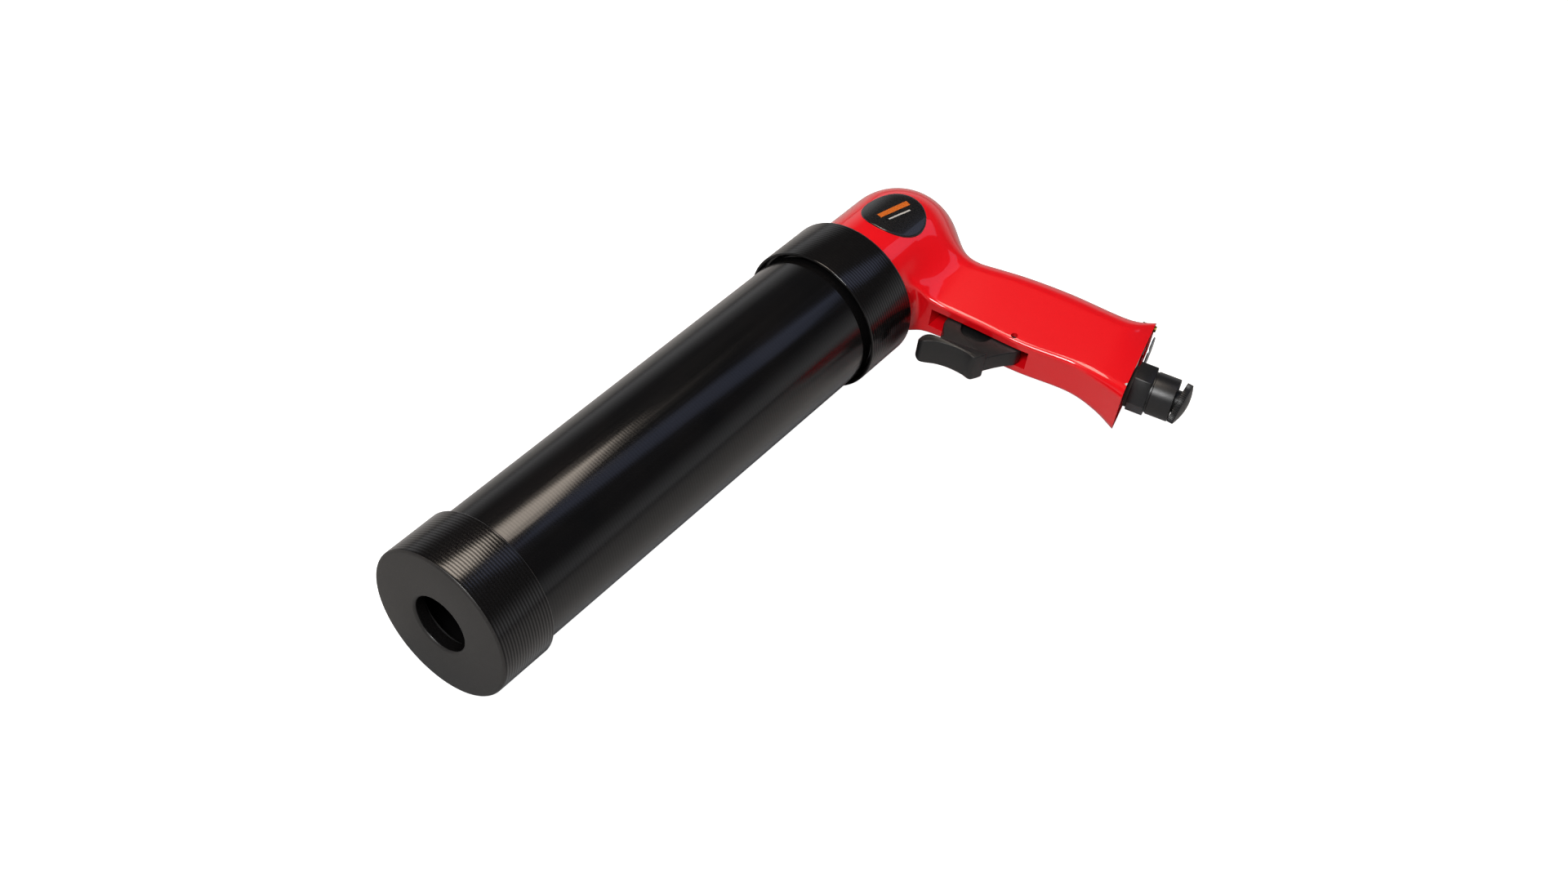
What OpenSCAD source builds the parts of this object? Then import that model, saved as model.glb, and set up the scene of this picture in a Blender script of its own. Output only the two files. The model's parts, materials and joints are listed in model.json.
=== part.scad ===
// Pneumatic caulking gun for a 310 ml sealant cartridge.
// Millimetres. The barrel lies along Y with its nozzle end towards -Y, the grip
// points to +X, and +Z is the tool's left side. The origin is on the barrel axis
// at the mouth of the nozzle hole.

/* [Barrel] */
// Outside radius of the barrel tube
tube_r = 27.5; // [26.5:0.1:29]
// Wall thickness of the barrel tube
tube_wall = 2.2; // [1.6:0.1:2.6]
// Length of the barrel tube, which is the length of the cartridge it holds
tube_len = 215; // [150:1:300]
// Depth of the relief groove between the tube and its rear thread
relief_depth = 1.0; // [0.4:0.1:1.2]
// Length of the relief groove
relief_len = 6.1; // [3:0.1:8]
// Length of the rear thread
thread_len = 13.2; // [8:0.1:16]

/* [Front cap] */
// Length of the front cap
cap_len = 24.1; // [16:0.1:40]
// Radial wall of the front cap outside the tube
cap_wall = 2.25; // [1.5:0.05:4]
// Thickness of the front wall of the cap
cap_front = 5.0; // [3:0.1:8]
// Radius of the nozzle hole
nozzle_r = 11.2; // [8:0.1:14]
// Edge radius around the mouth of the nozzle hole
nozzle_round = 1.3; // [0.5:0.1:2]
// Thickness of the rubber cushion inside the cap
cushion_t = 1.35; // [1:0.05:3]

/* [Rear collar] */
// Length of the rear collar
collar_len = 26.2; // [22:0.1:32]
// Thickness of the rear lip that holds the housing flange
collar_lip = 4.5; // [3:0.1:6]
// Gap around the tube in the recess at the front of the collar
recess_gap = 1.2; // [0.7:0.1:1.5]
// Depth of the recess at the front of the collar
collar_recess = 4.0; // [2:0.1:6]
// Thickness of the gasket between the tube and the housing
gasket_t = 1.4; // [0.8:0.1:3]

/* [Head] */
// Radius of the rounded head
head_r = 25.4; // [24.9:0.1:26.5]
// Length of the straight part of the head behind the collar
head_len = 31.8; // [28:0.1:40]
// Radius of the air chamber in the head
chamber_r = 18; // [14:0.5:20]
// Depth of the air chamber past the collar
chamber_depth = 36.8; // [33:0.1:40]
// Radius of the badge on the left side of the head
badge_r = 12.2; // [8:0.1:14]
// Thickness of the badge
badge_t = 0.55; // [0.3:0.05:1]

/* [Trigger] */
// Length of the trigger slot along the grip
slot_len = 41.8; // [40.5:0.1:44]
// Width of the trigger slot
slot_w = 8.5; // [7.8:0.1:10]
// Thickness of the trigger web in the slot
web_t = 7.2; // [5:0.1:7.4]
// Width of the finger pad
pad_w = 12; // [8:0.1:18]
// Radius of the round pockets in the trigger web
web_hole_r = 6.6; // [3:0.1:6.8]
// Thickness left between the two pockets
web_skin = 1.6; // [1:0.1:4]
// Radius of the trigger pin
pin_r = 1.28; // [1:0.02:1.6]
// Length of the trigger pin
pin_len = 13; // [10:0.1:15]

/* [Valve] */
// Outside radius of the valve sleeve
sleeve_r = 4.1; // [3.6:0.1:4.2]
// Radius of the valve spool
spool_r = 2.15; // [1.8:0.05:2.6]
// Radius of the valve stem that the trigger pushes
stem_r = 1.5; // [1:0.05:1.6]
// Wire radius of the valve spring
spring_wire = 0.25; // [0.2:0.05:0.3]
// Number of coils of the valve spring
spring_coils = 6; // [4:1:8]

/* [Grip base] */
// Width across the flats of the inlet hexagon
hex_af = 17.6; // [14:0.2:18]
// Length of the inlet hexagon
hex_len = 7.1; // [5:0.1:10]
// Radius of the inlet socket
socket_r = 8.65; // [7.6:0.05:9]
// Length of the inlet socket
socket_len = 9.8; // [6:0.1:16]
// Radius of the threaded hole in the inlet socket
thread_r = 5.9; // [5:0.1:6.2]
// Radius of the regulator knob
knob_r = 7.5; // [5:0.1:8]
// Height of the regulator knob past the base
knob_out = 1.8; // [1:0.1:4]
// Radius of the dust plug flange
plug_r = 8.5; // [7:0.1:9.5]
// Height of the dome on the dust plug
plug_dome = 1.8; // [1:0.1:3]
// Tilt of the soft flange on the dust plug, in degrees
plug_tilt = 8; // [0:0.5:9]

/* [Hidden] */
$fn = 96;
hull_fn = 32;
eps = 0.02;
fit = 0.05;        // radial clearance of a running fit
loose = 0.1;       // clearance between pieces that part company
side_gap = 0.3;    // clearance of a piece that turns in a pocket

// Places along the barrel axis, from the mouth of the nozzle hole rearwards.
face_y = -nozzle_round;
cap_in_y = face_y + cap_front;
tube_y = cap_in_y + cushion_t + 2 * fit;
gasket_y = tube_y + tube_len;
flange_y = gasket_y + gasket_t + loose;
flange_t = 3.9;
lip_y = flange_y + flange_t + loose;
rear_y = lip_y + collar_lip;          // rear plane of the collar
collar_y = rear_y - collar_len;
thread_y = gasket_y - thread_len;
relief_y = thread_y - relief_len;

cap_r = tube_r + fit + cap_wall;
collar_r = cap_r;
collar_recess_r = tube_r + recess_gap;
bore_r = tube_r - tube_wall;          // radius of the cartridge chamber
thread_outer_r = tube_r - fit;
neck_r = head_r - 0.5;                // housing neck inside the collar lip
edge_r = 1.2;                         // rounded outer edges of cap and collar
cushion_in_r = 13;
gasket_in_r = 21;

// The grip is described from the rear plane of the collar. Each station is
// [front x, front y, back x, back y, front half width, front edge radius,
// back half width, back radius].
stations = [
    [ 13.0,  5.5,  12.0, 42.0, 17.0, 2.0, 16.0, 16.0],
    [ 24.0,  7.6,  24.0, 42.6, 12.6, 1.8, 12.6, 12.6],
    [ 33.0,  9.1,  34.0, 44.8,  8.6, 1.5, 12.2, 12.2],
    [ 72.0, 14.9,  70.0, 55.8,  8.0, 1.5, 12.2, 12.2],
    [ 92.0, 19.8,  90.0, 59.0,  8.3, 2.4, 12.0, 12.0],
    [105.0, 19.3,  97.5, 61.5,  9.5, 3.6, 11.8, 11.8],
    [115.6, 16.8, 103.4, 64.5, 11.3, 4.4,  9.5,  5.0]
];
base = stations[len(stations) - 1];
base_rake = atan2(base[0] - base[2], base[3] - base[1]);
base_mid = [(base[0] + base[2]) / 2, (base[1] + base[3]) / 2, 0];

slot_x = 32.7;
slot_floor = 27.0;
strap_y = 5;                          // in front of the strap, for the slot cut
pivot = [66.5, 16.2];
pad_half = pad_w / 2;
pin_hole_r = pin_r + eps;
valve_x = 52;
stem_tip_y = 22.2;
sleeve_end_y = 46.6;
sleeve_wall_y = slot_floor + 2;
spool_y = sleeve_wall_y + 0.4;
spool_len = 9.0;
outlet_y = 34.5;
port_r = 1.25;
passage_r = 2;
seal_minor = 0.4;
spool_groove_r = spool_r + fit - 2 * seal_minor - 2 * eps;
spool_grooves = [1.6, 6.9];           // o-ring places from the front of the spool

// Places on the base, from its middle towards the back strap.
inlet_at = -7.55;
knob_at = 14.1;
vent_r = 1.3;
vent_out = 0.8;
vent_wall = 0.5;                      // metal between the vent screw and the knob pocket
vent_reach = knob_r + side_gap + vent_wall + vent_r;
screw_at = [knob_at + vent_reach * cos(43.5), vent_reach * sin(43.5)];
// Depths into the base along the inlet direction.
inlet_depth = 30;
inlet_r = 5;
male_r = 6.6;
male_len = 11;
cross_depth = 25;
knob_pocket = 4.6;
gland_r = 5.5;
gland_len = 9;
needle_bore_r = 3.5;
needle_bore_depth = 29;
seat_r = 1.6;
seat_depth = (base_mid.x - knob_at * sin(base_rake) - valve_x) / cos(base_rake);
feed_port_y = base_mid.y + knob_at * cos(base_rake) - (seat_depth - 2) * sin(base_rake);
stem_needle_r = 1.6;
piston_r = 3.35;
piston_at = 15.2;
piston_len = 4.8;
seal_z = piston_at + piston_len / 2;
needle_groove_r = 2.4;
washer_t = 1.2;

function arc(cx, cy, r, a0, a1, n = 6) =
    [for (i = [0 : n]) let (a = a0 + (a1 - a0) * i / n) [cx + r * cos(a), cy + r * sin(a)]];

// Turns a profile of [radius, y] points about the barrel axis.
module turned(points) {
    rotate([-90, 0, 0]) rotate_extrude() polygon(points);
}

module rod_y(r, y0, y1) {
    translate([0, y0, 0]) rotate([-90, 0, 0]) cylinder(r = r, h = y1 - y0);
}

module ring_y(r_out, r_in, y0, y1) {
    difference() {
        rod_y(r_out, y0, y1);
        rod_y(r_in, y0 - 1, y1 + 1);
    }
}

// Frame of the grip: origin on the barrel axis at the collar's rear plane.
module grip_frame() {
    translate([0, rear_y, 0]) children();
}

// Frame on the base of the grip: z points out of the base, y to the back strap.
module base_frame(at = 0) {
    grip_frame() translate(base_mid) rotate([0, 0, base_rake])
        translate([0, at, 0]) rotate([0, 90, 0]) children();
}

module valve_frame() {
    grip_frame() translate([valve_x, 0, 0]) children();
}

module seal_ring(r, minor) {
    rotate_extrude() translate([r, 0]) circle(r = minor, $fn = 24);
}

// ---- barrel ----

module barrel_tube() {
    color("#151515") turned(concat(
        [[bore_r, tube_y], [tube_r, tube_y], [tube_r, relief_y],
         [tube_r - relief_depth, relief_y], [tube_r - relief_depth, thread_y],
         [thread_outer_r, thread_y], [thread_outer_r, gasket_y], [bore_r, gasket_y]]));
}

module front_cap() {
    back_y = face_y + cap_len;
    color("#191818") turned(concat(
        arc(nozzle_r + nozzle_round, 0, nozzle_round, 180, 270),
        arc(cap_r - edge_r, face_y + edge_r, edge_r, 270, 360),
        arc(cap_r - edge_r, back_y - edge_r, edge_r, 0, 90),
        [[tube_r + fit, back_y], [tube_r + fit, cap_in_y], [nozzle_r, cap_in_y]]));
}

module cap_cushion() {
    color("#2b2b2b") ring_y(tube_r - 0.2, cushion_in_r, cap_in_y + fit, cap_in_y + fit + cushion_t);
}

module rear_collar() {
    color("#151515") turned(concat(
        [[neck_r + loose, lip_y], [neck_r + loose, rear_y]],
        arc(collar_r - edge_r, rear_y - edge_r, edge_r, 90, 0),
        arc(collar_r - edge_r / 2, collar_y + edge_r / 2, edge_r / 2, 0, -90),
        [[collar_recess_r, collar_y], [collar_recess_r, collar_y + collar_recess],
         [tube_r, collar_y + collar_recess], [tube_r, lip_y]]));
}

module barrel_gasket() {
    color("#202020") ring_y(tube_r - 0.3, gasket_in_r, flange_y - gasket_t, flange_y);
}

// ---- grip housing ----

module station(s) {
    run = norm([s[0] - s[2], s[3] - s[1]]);
    translate([s[0], s[1], 0]) rotate([0, 0, atan2(s[0] - s[2], s[3] - s[1])])
        for (side = [-1, 1]) {
            translate([-eps, s[5], side * (s[4] - s[5])])
                rotate([0, 90, 0]) cylinder(r = s[5], h = eps, $fn = hull_fn);
            translate([-eps, run - s[7], side * (s[6] - s[7])])
                rotate([0, 90, 0]) cylinder(r = s[7], h = eps, $fn = hull_fn);
        }
}

module grip_body() {
    for (i = [0 : len(stations) - 2])
        hull() {
            station(stations[i]);
            station(stations[i + 1]);
        }
}

module head_body(grow = 0) {
    rod_y(head_r + grow, side_gap, head_len);
    translate([0, head_len, 0]) sphere(r = head_r + grow);
}

module grip_housing() {
    color("#e1131d") difference() {
        union() {
            grip_frame() {
                head_body();
                grip_body();
            }
            rod_y(neck_r, flange_y, rear_y + 1);
            rod_y(tube_r - loose, flange_y, flange_y + flange_t);
        }
        rod_y(chamber_r, flange_y - 1, rear_y + chamber_depth);
        // trigger slot and pin hole
        grip_frame() {
            translate([slot_x, strap_y, -slot_w / 2])
                cube([slot_len, slot_floor - strap_y, slot_w]);
            translate([pivot.x, pivot.y, -20]) cylinder(r = pin_hole_r, h = 40);
            // air passage from the valve to the chamber
            translate([0, outlet_y, 0]) rotate([0, 90, 0]) cylinder(r = passage_r, h = valve_x);
        }
        valve_frame() rod_y(sleeve_r, slot_floor - 1, sleeve_end_y);
        // inlet bore
        base_frame(inlet_at) {
            translate([0, 0, -inlet_depth]) cylinder(r = inlet_r, h = inlet_depth + 1);
            translate([0, 0, -male_len - 1]) cylinder(r = male_r, h = male_len + 2);
            // cross passage to the regulator
            translate([0, 0, -cross_depth]) rotate([-90, 0, 0])
                cylinder(r = passage_r, h = knob_at - inlet_at);
        }
        // regulator bore and the passage on to the valve
        base_frame(knob_at) {
            translate([0, 0, -knob_pocket]) cylinder(r = knob_r + side_gap, h = knob_pocket + 5);
            translate([0, 0, -knob_pocket - gland_len]) cylinder(r = gland_r, h = gland_len + 1);
            translate([0, 0, -needle_bore_depth]) cylinder(r = needle_bore_r, h = needle_bore_depth);
            translate([0, 0, -seat_depth]) cylinder(r = seat_r, h = seat_depth);
        }
        base_frame() translate([-screw_at.y, screw_at.x, -6]) cylinder(r = vent_r, h = 10);
    }
}

module side_badge() {
    // an egg-shaped outline with its point towards the collar
    lobe = 1.5;
    point_at = 220;
    outline = [for (a = [0 : 5 : 355])
        let (r = badge_r + lobe * pow(max(0, cos(a - point_at)), 3)) [r * cos(a), r * sin(a)]];
    color("#141414") grip_frame() intersection() {
        difference() {
            head_body(badge_t);
            head_body(0);
        }
        translate([0.5, 24, 10]) linear_extrude(height = 30) polygon(outline);
    }
}

// ---- trigger ----

module trigger_outline() {
    difference() {
        union() {
            polygon(concat(
                [[63.3, 1.8], [65.6, 6.3], [70.0, 12.8]],
                [[66.5, 20.4], [58.0, 22.0], [46.5, 22.0], [42.2, 18.0]],
                [[40.2, 14.0], [39.6, 10.0], [40.4, 6.6], [42.2, 3.8], [44.0, 1.4], [44.4, -3.0]],
                [[51.0, -2.0], [62.8, 1.2]]));
            translate(pivot) circle(r = 4.3);
        }
        translate(pivot) circle(r = pin_r + fit);
    }
}

module trigger_pad() {
    polygon([[39.6, -4.3], [51.0, -1.0], [63.0, 2.4], [63.3, 1.2], [60.9, -3.3],
             [56.0, -3.2], [51.0, -3.9], [46.5, -5.5], [43.4, -7.8], [41.6, -9.2]]);
    translate([40.6, -6.8]) circle(r = 2.7);
}

module trigger() {
    color("#1b1b1c") grip_frame() {
        difference() {
            translate([0, 0, -web_t / 2]) linear_extrude(height = web_t) trigger_outline();
            for (side = [-1, 1])
                translate([52.2, 12.7, side * (web_skin + web_t) / 2])
                    cylinder(r = web_hole_r, h = web_t, center = true);
        }
        translate([0, 0, -pad_half]) linear_extrude(height = pad_w) trigger_pad();
    }
}

module trigger_pin() {
    color("#8a8a8c") grip_frame()
        translate([pivot.x, pivot.y, -pin_len / 2]) cylinder(r = pin_r, h = pin_len);
}

// ---- valve ----

module valve_sleeve() {
    inner_r = spool_r + fit;
    color("#b48a3c") valve_frame() difference() {
        rod_y(sleeve_r, slot_floor, sleeve_end_y);
        rod_y(stem_r + fit, slot_floor - 1, sleeve_end_y);
        rod_y(inner_r, sleeve_wall_y, sleeve_end_y + 1);
        translate([-10, outlet_y, 0]) rotate([0, 90, 0]) cylinder(r = port_r, h = 10);
        translate([0, feed_port_y, 0]) rotate([0, 90, 0]) cylinder(r = port_r, h = 10);
    }
}

module valve_spool() {
    color("#c9ccd0") valve_frame() difference() {
        union() {
            rod_y(stem_r, stem_tip_y, spool_y + 1);
            rod_y(spool_r, spool_y, spool_y + spool_len);
        }
        for (g = spool_grooves)
            ring_y(spool_r + 1, spool_groove_r, spool_y + g - seal_minor - eps,
                   spool_y + g + seal_minor + eps);
    }
}

module spool_seal(g) {
    color("#141414") valve_frame() translate([0, spool_y + g, 0]) rotate([-90, 0, 0])
        seal_ring(spool_groove_r + eps + seal_minor, seal_minor);
}

module spool_seal_front() {
    spool_seal(spool_grooves[0]);
}

module spool_seal_rear() {
    spool_seal(spool_grooves[1]);
}

// A round wire swept along a helix about z.
module coil_spring(r, wire, h, coils) {
    steps = 16 * coils;
    sides = 8;
    points = [for (i = [0 : steps], k = [0 : sides - 1])
        let (a = 360 * coils * i / steps, b = 360 * k / sides, rr = r + wire * cos(b))
            [rr * cos(a), rr * sin(a), h * i / steps + wire * sin(b)]];
    walls = [for (i = [0 : steps - 1], k = [0 : sides - 1])
        let (n = (k + 1) % sides)
            [i * sides + k, (i + 1) * sides + k, (i + 1) * sides + n, i * sides + n]];
    start = [for (k = [0 : sides - 1]) k];
    end = [for (k = [sides - 1 : -1 : 0]) steps * sides + k];
    polyhedron(points, concat(walls, [start, end]), convexity = 10);
}

module valve_spring() {
    y0 = spool_y + spool_len + spring_wire;
    color("#a9abad") valve_frame() translate([0, y0, 0]) rotate([-90, 0, 0])
        coil_spring(spool_r - spring_wire - 0.1, spring_wire,
                    sleeve_end_y - spring_wire - y0, spring_coils);
}

// ---- inlet ----

module inlet_bushing() {
    hex_r = hex_af / 2 / cos(30);
    color("#1a1a1a") base_frame(inlet_at) difference() {
        union() {
            translate([0, 0, -male_len]) cylinder(r = male_r, h = male_len + washer_t + 1);
            intersection() {
                translate([0, 0, washer_t]) rotate(30) cylinder(r = hex_r, h = hex_len, $fn = 6);
                // chamfered inner end
                translate([0, 0, washer_t]) cylinder(r1 = hex_af / 2, r2 = hex_af / 2 + 16, h = 16);
            }
            translate([0, 0, washer_t + hex_len - 1]) cylinder(r = socket_r, h = socket_len + 1);
        }
        translate([0, 0, -male_len - 1]) cylinder(r = 3.5, h = 40);
        translate([0, 0, 6]) cylinder(r = thread_r, h = 40);
    }
}

module inlet_washer() {
    color("#6b4a2a") base_frame(inlet_at) difference() {
        cylinder(r = 8.3, h = washer_t);
        translate([0, 0, -1]) cylinder(r = male_r, h = washer_t + 2);
    }
}

module inlet_screen() {
    cup_r = 4.4;
    cup_len = 10;
    slot_t = 1.1;
    color("#9da0a2") base_frame(inlet_at) translate([0, 0, -male_len - cup_len]) difference() {
        cylinder(r = cup_r, h = cup_len);
        translate([0, 0, 0.6]) cylinder(r = cup_r - 0.6, h = cup_len);
        for (turn = [0 : 2])
            translate([0, 0, cup_len / 2]) rotate(60 * turn)
                cube([3 * cup_r, slot_t, cup_len - 4], center = true);
    }
}

module dust_plug() {
    end = washer_t + hex_len + socket_len;
    flange_at = end + 1.25;
    thick = 2.45;
    teeth = 60;
    dome_r = (pow(plug_r - 0.3, 2) + pow(plug_dome, 2)) / (2 * plug_dome);
    color("#161616") base_frame(inlet_at) {
        translate([0, 0, end - 9]) cylinder(r = thread_r - fit, h = 9);
        translate([0, 0, end - 0.5]) cylinder(r = 4.6, h = 3.2);
        translate([0, 0, flange_at]) rotate(a = plug_tilt, v = [0.68, 0.74, 0]) {
            difference() {
                cylinder(r = plug_r, h = thick);
                for (i = [0 : teeth - 1])
                    rotate(360 * i / teeth) translate([plug_r + 0.1, 0, -1]) rotate(45)
                        cube([0.5, 0.5, 2 * (thick + 2)], center = true);
            }
            intersection() {
                cylinder(r = plug_r - 0.3, h = thick + plug_dome);
                translate([0, 0, thick + plug_dome - dome_r]) sphere(r = dome_r);
            }
        }
    }
}

// ---- regulator ----

module regulator_knob() {
    teeth = 30;
    color("#c7cacd") base_frame(knob_at) difference() {
        translate([0, 0, -knob_pocket + 1.6]) cylinder(r = knob_r, h = knob_pocket - 1.6 + knob_out);
        for (i = [0 : teeth - 1])
            rotate(360 * i / teeth) translate([knob_r + 0.15, 0, 0]) rotate(45)
                cube([0.9, 0.9, 20], center = true);
        translate([-0.75, -6, knob_out - 1]) cube([1.5, 12, 2]);
        translate([0, 0, -knob_pocket]) cylinder(r = stem_needle_r, h = knob_pocket - 0.4);
    }
}

module regulator_needle() {
    color("#b9bcc0") base_frame(knob_at) difference() {
        union() {
            translate([0, 0, -27]) cylinder(r = stem_needle_r, h = 27 - 0.4);
            translate([0, 0, -piston_at - piston_len]) cylinder(r = piston_r, h = piston_len);
            translate([0, 0, -31]) cylinder(r1 = 0.3, r2 = stem_needle_r, h = 4);
        }
        translate([0, 0, -seal_z - 0.6]) difference() {
            cylinder(r = 5, h = 1.2);
            translate([0, 0, -1]) cylinder(r = needle_groove_r, h = 4);
        }
    }
}

module regulator_seal() {
    color("#141414") base_frame(knob_at) translate([0, 0, -seal_z])
        seal_ring(needle_groove_r + eps + 0.5, 0.5);
}

module regulator_gland() {
    color("#b48a3c") base_frame(knob_at) difference() {
        translate([0, 0, -knob_pocket - gland_len]) cylinder(r = gland_r, h = gland_len);
        translate([0, 0, -knob_pocket - gland_len - 1])
            cylinder(r = stem_needle_r + fit, h = gland_len + 2);
    }
}

module vent_screw() {
    color("#8f8440") base_frame() translate([-screw_at.y, screw_at.x, -5]) difference() {
        cylinder(r = vent_r, h = 5 + vent_out);
        translate([0, 0, 5 + vent_out - 0.6]) cube([0.5, 4, 1.2], center = true);
    }
}

grip_housing();
side_badge();
barrel_tube();
front_cap();
cap_cushion();
rear_collar();
barrel_gasket();
trigger();
trigger_pin();
valve_sleeve();
valve_spool();
spool_seal_front();
spool_seal_rear();
valve_spring();
inlet_bushing();
inlet_washer();
inlet_screen();
dust_plug();
regulator_knob();
regulator_needle();
regulator_seal();
regulator_gland();
vent_screw();
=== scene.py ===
"""Finished pieces, materials and stage for a pneumatic caulking gun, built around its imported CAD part."""

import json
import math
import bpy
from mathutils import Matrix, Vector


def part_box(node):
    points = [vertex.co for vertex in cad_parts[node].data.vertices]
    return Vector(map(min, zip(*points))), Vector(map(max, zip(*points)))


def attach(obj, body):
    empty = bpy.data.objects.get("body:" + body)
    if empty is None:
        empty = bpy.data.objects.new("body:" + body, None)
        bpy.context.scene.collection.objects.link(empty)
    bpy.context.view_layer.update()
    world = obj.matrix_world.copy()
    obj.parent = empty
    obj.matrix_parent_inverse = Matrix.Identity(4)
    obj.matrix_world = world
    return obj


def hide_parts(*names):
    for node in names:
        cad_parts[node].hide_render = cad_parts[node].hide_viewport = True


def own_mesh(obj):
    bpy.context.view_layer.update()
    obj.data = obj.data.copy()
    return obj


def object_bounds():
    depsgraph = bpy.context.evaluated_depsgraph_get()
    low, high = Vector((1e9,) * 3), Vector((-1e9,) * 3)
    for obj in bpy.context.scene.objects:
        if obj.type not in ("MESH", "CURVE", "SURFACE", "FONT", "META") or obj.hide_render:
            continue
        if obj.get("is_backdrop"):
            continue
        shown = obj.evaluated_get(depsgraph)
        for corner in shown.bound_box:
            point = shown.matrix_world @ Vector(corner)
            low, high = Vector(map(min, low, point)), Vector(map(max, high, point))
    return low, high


bl_info = {
    "name": "Pneumatic Caulking Gun",
    "version": (1, 0, 0),
    "blender": (4, 5, 0),
    "location": "View3D > Sidebar > Caulking Gun",
    "description": "Builds the finished pieces, materials and stage of a pneumatic caulking gun",
    "category": "Add Mesh",
}

import bmesh
import bpy
import numpy as np
from mathutils import Matrix, Vector

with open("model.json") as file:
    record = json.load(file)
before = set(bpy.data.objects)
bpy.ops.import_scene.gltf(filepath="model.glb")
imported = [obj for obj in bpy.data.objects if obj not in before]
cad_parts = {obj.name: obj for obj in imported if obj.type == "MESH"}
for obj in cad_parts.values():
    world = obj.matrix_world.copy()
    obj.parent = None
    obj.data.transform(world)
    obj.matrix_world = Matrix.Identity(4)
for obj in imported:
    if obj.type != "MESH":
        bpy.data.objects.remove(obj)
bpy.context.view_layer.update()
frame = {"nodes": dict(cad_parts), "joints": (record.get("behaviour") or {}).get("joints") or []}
MM = 0.001

JOINTS = {joint["name"]: joint for joint in frame["joints"]}

# Places that every piece shares, in millimetres, from the CAD part.
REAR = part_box("rear_collar")[1].y / MM
BASE_OUT = Vector(JOINTS["plug_pull"]["axis"]).normalized()
BASE_UP = Vector((-BASE_OUT.y, BASE_OUT.x, 0))

# Sizes of the CAD part that no box gives, in millimetres. The ends of the flange and of the air
# chamber are measured from the rear of the collar, those of the hexagon and socket from the base.
HEAD_LEN = 31.8
TUBE_WALL = 2.2
THREAD_LEN = 13.2
RELIEF_LEN = 6.1
RELIEF_DEPTH = 1.0
THREAD_GAP = 0.05
NOZZLE_R = 11.2
CAP_FRONT = 5.0
RECESS_R = 28.7
RECESS_DEPTH = 4.0
COLLAR_LIP = 4.5
COLLAR_HOLE_R = 25.0
NECK_R = 24.9
FLANGE_R = 27.4
FLANGE_END = 8.5
CHAMBER_R = 18.0
CHAMBER_DEPTH = 36.8
HEX_ACROSS = 17.6
HEX_END = 8.3
SOCKET_R = 8.65
SOCKET_END = 18.1
KNOB_R = 7.5

# Places in the grip, from the barrel axis at the rear of the collar.
PIVOT = (66.5, 16.2)
POCKET = (52.2, 12.7)
BADGE = (0.5, 24.0)
SLOT_START, SLOT_STOP, SLOT_FLOOR, SLOT_HALF = 32.7, 74.5, 27.0, 4.25

# The grip, from its root in the head to its base: front x and y, back x and y,
# front half width and edge radius, back half width and radius.
GRIP_STATIONS = [
    (13.0, 5.5, 12.0, 38.5, 17.0, 2.0, 15.0, 15.0),
    (24.0, 7.6, 24.0, 41.2, 12.6, 1.8, 12.6, 12.6),
    (33.0, 9.1, 34.0, 44.6, 8.6, 1.5, 12.2, 12.2),
    (52.0, 12.0, 52.0, 51.2, 8.2, 1.5, 12.2, 12.2),
    (72.0, 14.9, 70.0, 55.8, 8.0, 1.6, 12.2, 12.2),
    (92.0, 19.8, 90.0, 59.0, 8.3, 2.4, 12.0, 12.0),
    (105.0, 19.3, 97.5, 61.5, 9.5, 3.6, 11.8, 11.8),
    (115.6, 16.8, 103.4, 64.5, 11.3, 4.4, 9.5, 5.0),
]
BASE_MID = ((GRIP_STATIONS[-1][0] + GRIP_STATIONS[-1][2]) / 2,
            (GRIP_STATIONS[-1][1] + GRIP_STATIONS[-1][3]) / 2)
BASE_CENTRE = Vector((BASE_MID[0], BASE_MID[1] + REAR, 0))


# ---- sizes and colours ----


class CaulkingGunSizes(bpy.types.PropertyGroup):
    """Sizes of the finished pieces."""

    head_radius: bpy.props.FloatProperty(
        name="Head radius", description="Radius of the rounded head, in millimetres",
        default=25.4, min=24.0, max=25.4)
    fillet: bpy.props.FloatProperty(
        name="Grip fillet", description="How far the head flows into the grip, in millimetres",
        default=13.0, min=3.5, max=16.0)
    badge_thickness: bpy.props.FloatProperty(
        name="Badge thickness", description="Height of the badge over the head, in millimetres",
        default=0.55, min=0.2, max=0.55)
    plug_tilt: bpy.props.FloatProperty(
        name="Plug tilt", description="Lean of the soft flange of the dust plug",
        default=math.radians(8), subtype="ANGLE", unit="ROTATION")
    turned_steps: bpy.props.IntProperty(
        name="Turned steps", description="Steps around a turned piece", default=192, min=48, max=256)


class CaulkingGunColours(bpy.types.PropertyGroup):
    """Colours of the finished pieces, as sRGB hex values."""

    enamel: bpy.props.StringProperty(
        name="Enamel", description="Colour of the painted housing", default="EA0A18")
    tube: bpy.props.StringProperty(
        name="Tube", description="Colour of the barrel tube", default="0A0A0B")
    cap: bpy.props.StringProperty(
        name="Cap", description="Colour of the cap and the collar", default="0C0B0B")
    trigger: bpy.props.StringProperty(
        name="Trigger", description="Colour of the moulded trigger", default="121213")
    badge_bar: bpy.props.StringProperty(
        name="Badge bar", description="Colour of the plain bar on the badge", default="C8641E")


def linear(code):
    """An sRGB hex value as a linear colour."""
    parts = [int(code[i:i + 2], 16) / 255 for i in (0, 2, 4)]
    return tuple(c / 12.92 if c <= 0.04045 else ((c + 0.055) / 1.055) ** 2.4 for c in parts) + (1.0,)


# ---- materials ----


def add(tree, kind, settings=None, links=None):
    """Adds a node with its settings and links, and returns it."""
    made = tree.nodes.new(kind)
    for key, value in (settings or {}).items():
        if isinstance(key, int) or key in made.inputs:
            made.inputs[key].default_value = value
        else:
            setattr(made, key, value)
    for key, source in (links or {}).items():
        tree.links.new(source[0].outputs[source[1]], made.inputs[key])
    return made


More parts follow.
